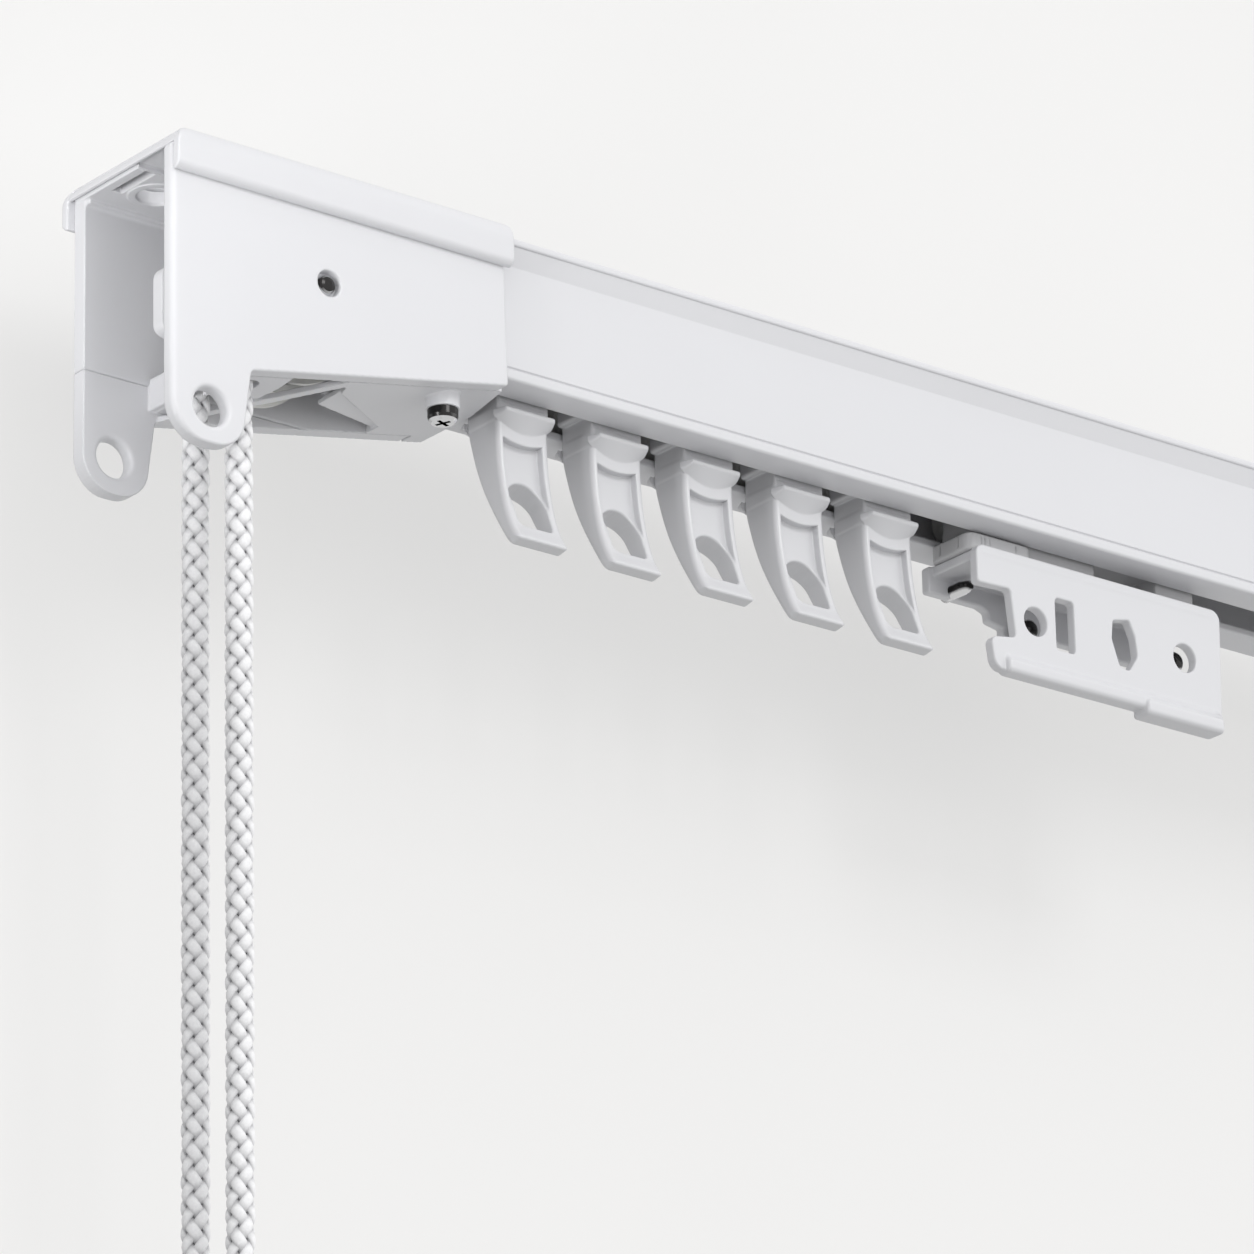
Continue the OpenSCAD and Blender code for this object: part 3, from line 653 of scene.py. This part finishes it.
# ---------------------------------------------------------------- rail
def make_rail():
    t, bot, top, yb = 1.1, -13.8, 5.2, 20.3
    P = []
    P += rnd([(1.0, 4.1), (1.0, top), (yb + 1.2, top), (yb + 1.2, 4.1)], [0.3, 0.5, 0.5, 0.3], 6)
    P += rnd([(yb + 1.2, 4.1), (yb, 1.7), (yb, -12.05)], [0, 0.35, 0], 5)[1:]
    P += rnd([(yb, -12.05), (yb - 0.28, -12.25), (yb, -12.45)], [0, 0.08, 0], 3)[1:]
    P += rnd([(yb, -12.45), (yb, bot), (14.6, bot), (14.6, bot + t), (yb - t, bot + t), (yb - t, 2.1), (yb - t + 0.4, top - t), (3.7 - 0.8, top - t),
              (3.3, 2.1), (3.3, bot + t), (7.3, bot + t), (7.3, bot), (2.2, bot), (2.2, -12.45)],
             [0, 0.45, 0.25, 0.25, 0.3, 0.3, 0.3, 0.3, 0.3, 0.3, 0.25, 0.25, 0.45, 0], 5)[1:]
    P += rnd([(2.2, -12.45), (2.48, -12.25), (2.2, -12.05)], [0, 0.08, 0], 3)[1:]
    P += rnd([(2.2, -12.05), (2.2, 1.7), (1.0, 4.1)], [0, 0.35, 0], 5)[1:-1]
    clean = []
    for p in P:
        if not clean or np.linalg.norm(np.subtract(p, clean[-1])) > 1e-4:
            clean.append(np.array(p, float))
    P = np.array(clean)
    m = len(P)
    xs = [35.5, 461.5]
    V = np.array([(x, p[0], p[1]) for x in xs for p in P])
    k = np.arange(m)
    F = np.stack([k, (k + 1) % m, m + (k + 1) % m, m + k], 1)
    me = bpy.data.meshes.new("rail_section")
    faces = [tuple(int(i) for i in q) for q in F] + [tuple(range(m))[::-1], tuple(range(m, 2 * m))]
    me.from_pydata([tuple(v) for v in place(V)], [], faces)
    me.update()
    me.materials.append(MAT["white_rail"])
    ob = bpy.data.objects.new("rail_section", me)
    bpy.context.scene.collection.objects.link(ob)
    import bmesh
    bm = bmesh.new()
    bm.from_mesh(me)
    bmesh.ops.recalc_face_normals(bm, faces=bm.faces)
    for f in bm.faces:
        f.smooth = len(f.verts) == 4
    for e in bm.edges:
        if len(e.link_faces) == 2 and e.link_faces[0].normal.angle(e.link_faces[1].normal, 0) > math.radians(35):
            e.smooth = False
    bm.to_mesh(me)
    bm.free()
    finish_piece(ob, "track", "white_rail", "track_rail")


make_rail()


# ---------------------------------------------------------------- gliders
GF = [(8.05, -14.2), (8.05, -16.5), (8.05, -18.4), (7.95, -20.3), (7.7, -23), (7.2, -26), (6.5, -28.8), (5.5, -31.4), (4.4, -33.2)]
GB = [(5.95, -34.1), (6.8, -33.4), (8.4, -31), (10.2, -28), (11.8, -24.9), (13, -21.9), (13.9, -19), (14.4, -16.9), (14.5, -14.2)]
SIDE = poly([*smooth_line(GF, 4), *rnd([(4.4, -33.2), (4.1, -33.75), (5.95, -34.1)], [0, 0.3, 0], 5)[1:-1], *smooth_line(GB, 4)])
GFY = np.array([p[1] for p in GF])[::-1]
GFX = np.array([p[0] for p in GF])[::-1]
EYE = poly(rnd([(-2.7, -3.5), (2.7, -3.5), (2.7, 4.2), (-2.7, 4.2)], [0.9, 0.9, 2.65, 2.65], 8))


def f_glider(x, y, z):
    w = 4.1
    d = ext(SIDE(y, z), x, -w, w, 0.75)
    d = smin(d, box(x, y, z, (-w, 8.05, -16.5), (w, 14.2, -12.0), 0.3), 0.3)
    d = smin(d, box(x, y, z, (-5.1, 8.2, -12.4), (5.1, 14.1, -6.2), 0.5), 0.2)
    # recessed face with its round upper lip, running out below the eye's top
    front = np.interp(z, GFY, GFX)
    depth = 1.15 * step(z, -29.0, -24.6)
    lipz = -19.3 + 0.62 * (x / 3.3) ** 2
    trough = smax(np.maximum(np.abs(x + 0.1) - 3.1, z - lipz), (y - front - depth) * 0.97, 0.2)
    trough = np.maximum(trough, -29.2 - z)
    d = cut(d, trough, 0.22)
    # shoulders: a lens-shaped ledge under the front flange, the same at the back
    a = np.abs(x)
    root = -18.1 + 1.9 * (a / 4.6) ** 2
    for sgn, ya, yb in ((1, 6.4, 8.3), (-1, 16.0, 14.3)):
        t = (y - ya) / (yb - ya)
        slope = (z - (-15.75 + (root + 15.75) * np.clip(t, -0.5, 1.15))) * 0.62
        half = a - (3.9 + 0.75 * np.clip(t, 0, 1))
        sh = smax(smax(-slope, half * 0.93, 0.2), z + 15.2, 0.25)
        sh = smax(sh, (ya - y) * sgn, 0.2)
        sh = smax(sh, (y - yb) * sgn, 0.0)
        d = smin(d, sh, 0.08)
    # eye, its axis falling towards the back
    d = cut(d, EYE(x, 0.342 * (y - 6.5) + 0.9397 * (z + 28)), 0.3)
    return cut(d, np.hypot(z + 8.35, x) - 1.05)


G1, PITCH = 58.5, 15.15


def make_gliders():
    gr = {"rel": None}
    ob = None
    for i in range(1, 6):
        cx = G1 + PITCH * (i - 1)
        if ob is None:
            ob = field_object("glider_moulding_1", lambda x, y, z: f_glider(x - cx, y, z), (cx - 5.1, 2.3, -34.2), (cx + 5.1, 16.7, -6.2), 0.17, MAT["white_glider"], 0.5)
            one = ob
        else:
            ob = bpy.data.objects.new(f"glider_moulding_{i}", one.data)
            ob.location.x = PITCH * (i - 1) / 1000
            bpy.context.scene.collection.objects.link(ob)
        finish_piece(ob, f"glider_{i}", "white_glider", f"glider_{i}")


make_gliders()


# ---------------------------------------------------------------- carrier and draw arm
ARM = poly(rnd([(131.4, -16.55), (131.4, -22.1), (137.1, -21.9), (137.8, -28.5), (133.4, -29.2), (134, -33.6), (174.5, -33.6), (175, -16.55)],
               [1.3, 0.5, 0.6, 0.6, 1.1, 1.7, 0.6, 1.5], 8))
REAR = poly(rnd([(131.6, -16.6), (131.6, -20.4), (140.6, -20.4), (142.0, -20.9), (142.1, -22.2), (144.4, -22.6), (174.8, -22.8), (174.8, -16.6)],
                [0.6, 0.4, 0.3, 0.5, 0.5, 0.6, 0.8, 1], 6))
WEB = poly(rnd([(4.6, -16.55), (4.6, -17.9), (16.1, -17.9), (16.1, -16.55)], [1.1, 0, 0, 1.1], 8))
SLOT = poly(rnd([(145, -28.65), (148.3, -28.65), (148.3, -21.3), (145, -21.3)], [0.6, 0.6, 0.6, 0.6], 6))
KEY = poly(rnd([(155.3, -22.2), (158.2, -21.6), (159.2, -23.8), (159.5, -26.5), (157.9, -28.9), (156.2, -28.5), (155, -24.9)],
               [0.4, 0.4, 1, 1.3, 0.8, 0.7, 1], 6))
BEAD = poly(rnd([(3.7, -34), (6.2, -34), (6.2, -31.9), (4.6, -31.3), (3.7, -32.3)], [0.75, 0.5, 0, 0, 0.7], 6))
FOOT = poly(rnd([(3.1, -34.9), (6.5, -34.9), (6.5, -32.4), (4.6, -31.6), (3.1, -33)], [0.75, 0.5, 0, 0, 0.9], 6))
PINS = ((146.6, -23.2), (172.9, -22.1), (135.9, -19.45))


def f_arm(x, y, z):
    d = ext(ARM(x, z), y, 4.6, 6.2, 0.3)
    d = smin(d, ext(WEB(y, z), x, 132.5, 173.8, 0.3), 0.2)
    rear = ext(REAR(x, z), y, 14.6, 16.1, 0.3)
    for c in PINS[:2]:
        rear = smin(rear, ext(np.hypot(x - c[0], z - c[1]) - 2.1, y, 14.6, 16.1, 0.3), 0.3)
    d = smin(d, rear, 0.3)
    d = smin(d, ext(BEAD(y, z), x, 135.7, 174, 0.5), 0.3)
    d = smin(d, ext(FOOT(y, z), x, 159.7, 173.6, 0.55), 0.3)
    for c in ((141.4, -25.55), (168.1, -24.8)):
        d = cut(d, np.maximum(np.hypot(x - c[0], z - c[1]) - 2.0, y - 8), 0.3)
    d = cut(d, np.maximum(SLOT(x, z), y - 8), 0.3)
    d = cut(d, np.maximum(KEY(x, z), y - 8), 0.3)
    for cx in (145.0, 170.5):
        d = cut(d, np.hypot(x - cx, y - 11.1) - 1.1)
    return d


PAD = poly(rnd([(131.8, 6.5), (143.2, 6.5), (143.2, 14.8), (131.8, 14.8)], [1.6, 1.6, 1.6, 1.6], 8))


def f_carrier(x, y, z):
    d = box(x, y, z, (133.8, 8.2, -12.3), (173.4, 14.1, -6.2), 0.4)
    d = smin(d, box(x, y, z, (133.8, 8.05, -16.53), (155.5, 14.2, -12.0), 0.25), 0.2)
    d = smin(d, box(x, y, z, (166.5, 8.05, -16.53), (173.4, 14.2, -12.0), 0.25), 0.2)
    d = smin(d, ext(PAD(x, y), z, -16.53, -14.1, 0.3), 0.2)
    d = smin(d, box(x, y, z, (147.5, 3.8, -3.1), (159.5, 12.6, 2.25), 0.3), 0.2)
    d = smin(d, box(x, y, z, (147.5, 8.2, -6.5), (159.5, 12.6, -3.0), 0.3), 0.2)
    for cx in (140.0, 167.0):
        d = cut(d, np.hypot(x - cx, z + 8.35) - 1.05)
    groove = np.minimum(np.hypot(y - 6, z - 0.4) - 1.95, np.maximum(np.abs(y - 6) - 1.95, 0.4 - z))
    return cut(d, np.maximum(groove, np.abs(x - 153.5) - 8), 0.2)


def make_carrier():
    finish_piece(field_object("draw_arm_moulding", f_arm, (131.4, 3.1, -34.9), (175, 16.1, -16.5), 0.19, MAT["white_arm"], 1.0), "carrier", "white_arm", "draw_arm")
    V, F, n = [], [], 0
    for k, c in enumerate(PINS):
        q = 0.95 if k == 2 else 1.5
        prof = [(0.02, 0), (0.9, 0.02), (1.0, 0.12), (1.0, 4.2), (q, 4.26), (q, 4.55), (q * 0.95, 4.85), (q * 0.82, 5.12), (q * 0.55, 5.35), (0.02, 5.45)]
        v, f = lathe("", prof, (c[0], 16.5, c[1]), (0, -1, 0), None)
        V.append(v); F.append(f + n); n += len(v)
    finish_piece(to_object("arm_pin_heads", np.concatenate(V), np.concatenate(F), MAT["bright_steel"]), "carrier", "bright_steel", "arm_pins")
    finish_piece(field_object("carrier_moulding", f_carrier, (131.8, 3.8, -16.6), (173.4, 14.8, 2.3), 0.3, MAT["grey_carrier"]), "carrier", "grey_carrier", "carrier_body")


make_carrier()


# ---------------------------------------------------------------- CAD nodes that stay get their finish
SLOT_OF = {s["node"]: s["material_slot"] for s in frame["record"]["subparts"]}
for name, ob in frame["nodes"].items():
    if ob.hide_render:
        continue
    for i in range(max(1, len(ob.material_slots))):
        if ob.material_slots:
            ob.material_slots[i].material = MAT[SLOT_OF[name]]


# ---------------------------------------------------------------- floor and light
def make_stage():
    floor = Nodes("pale_floor")
    floor.link(floor.mix(floor.ramp(floor.noise(3.0), 0, 1, 0.3, 0.7), (0.62, 0.62, 0.615), (0.64, 0.64, 0.635)), floor.b.inputs["Base Color"])
    floor.link(floor.ramp(floor.noise(20.0), 0.8, 0.95, 0.3, 0.7), floor.b.inputs["Roughness"])
    def sheet(name, corners, mat):
        me = bpy.data.meshes.new(name)
        me.from_pydata(corners, [], [(0, 1, 2, 3)])
        me.materials.append(mat)
        ob = bpy.data.objects.new(name, me)
        bpy.context.scene.collection.objects.link(ob)
        return ob

    s, z = 9.0, -4.0
    sheet("floor", [(-s, -s, z), (s, -s, z), (s, s, z), (-s, s, z)], floor.mat)

    # wall behind the track, seen from its front only
    wall = Nodes("pale_wall")
    wall.link(wall.mix(wall.ramp(wall.noise(6.0), 0, 1, 0.3, 0.7), (0.34, 0.338, 0.335), (0.36, 0.358, 0.355)), wall.b.inputs["Base Color"])
    wall.link(wall.ramp(wall.noise(40.0), 0.85, 0.95, 0.3, 0.7), wall.b.inputs["Roughness"])
    wall.put("Specular IOR Level", 0.1)
    # a little light of its own softens the shadows on the wall
    wall.put("Emission Color", (1.0, 0.997, 0.99, 1.0))
    wall.put("Emission Strength", 0.485)
    back = wall.add("ShaderNodeNewGeometry").outputs["Backfacing"]
    clear = wall.add("ShaderNodeBsdfTransparent")
    mix = wall.add("ShaderNodeMixShader")
    out = wall.t.nodes["Material Output"]
    wall.link(back, mix.inputs[0])
    wall.link(wall.b.outputs[0], mix.inputs[1])
    wall.link(clear.outputs[0], mix.inputs[2])
    wall.link(mix.outputs[0], out.inputs["Surface"])
    yw = 0.028
    ob = sheet("wall", [(-s, yw, z), (s, yw, z), (s, yw, s), (-s, yw, s)], wall.mat)
    for ray in ("visible_diffuse", "visible_glossy", "visible_transmission", "visible_volume_scatter", "visible_shadow"):
        setattr(ob, ray, False)

    def area(name, at, to, size, power, spread=180.0):
        li = bpy.data.lights.new(name, "AREA")
        li.shape = "RECTANGLE"
        li.size, li.size_y = size
        li.energy = power
        li.spread = math.radians(spread)
        o = bpy.data.objects.new(name, li)
        o.location = at
        o.rotation_mode = "QUATERNION"
        o.rotation_quaternion = (Vector(at) - Vector(to)).to_track_quat("Z", "Y")
        bpy.context.scene.collection.objects.link(o)

    mid = (0.10, 0.0, -0.02)
    area("key", (0.05, -1.45, 0.75), mid, (0.6, 0.6), 5.5)
    area("housing_fill", tuple(place((-120, -26, -48))), tuple(place((6, 16, 2))), (0.05, 0.05), 0.009, 42.0)
    w = bpy.data.worlds.new("studio")
    bpy.context.scene.world = w
    w.use_nodes = True
    t = w.node_tree
    bg = t.nodes["Background"]
    co = t.nodes.new("ShaderNodeTexCoord").outputs["Generated"]
    dot = t.nodes.new("ShaderNodeVectorMath")
    dot.operation = "DOT_PRODUCT"
    dot.inputs[1].default_value = (0.12, -0.30, 0.05)
    t.links.new(co, dot.inputs[0])
    lvl = t.nodes.new("ShaderNodeMapRange")
    for k, v in (("From Min", -1.0), ("From Max", 1.0), ("To Min", -0.5), ("To Max", 2.2)):
        lvl.inputs[k].default_value = v
    t.links.new(dot.outputs["Value"], lvl.inputs["Value"])
    tint = t.nodes.new("ShaderNodeMix")
    tint.data_type = "RGBA"
    tint.inputs["A"].default_value = (0, 0, 0, 1)
    tint.inputs["B"].default_value = (1.0, 1.0, 1.0, 1)
    tint.clamp_factor = False
    t.links.new(lvl.outputs["Result"], tint.inputs["Factor"])
    t.links.new(tint.outputs["Result"], bg.inputs["Color"])
    bg.inputs["Strength"].default_value = 1.0
    bpy.context.scene.view_settings.view_transform = "Standard"


make_stage()
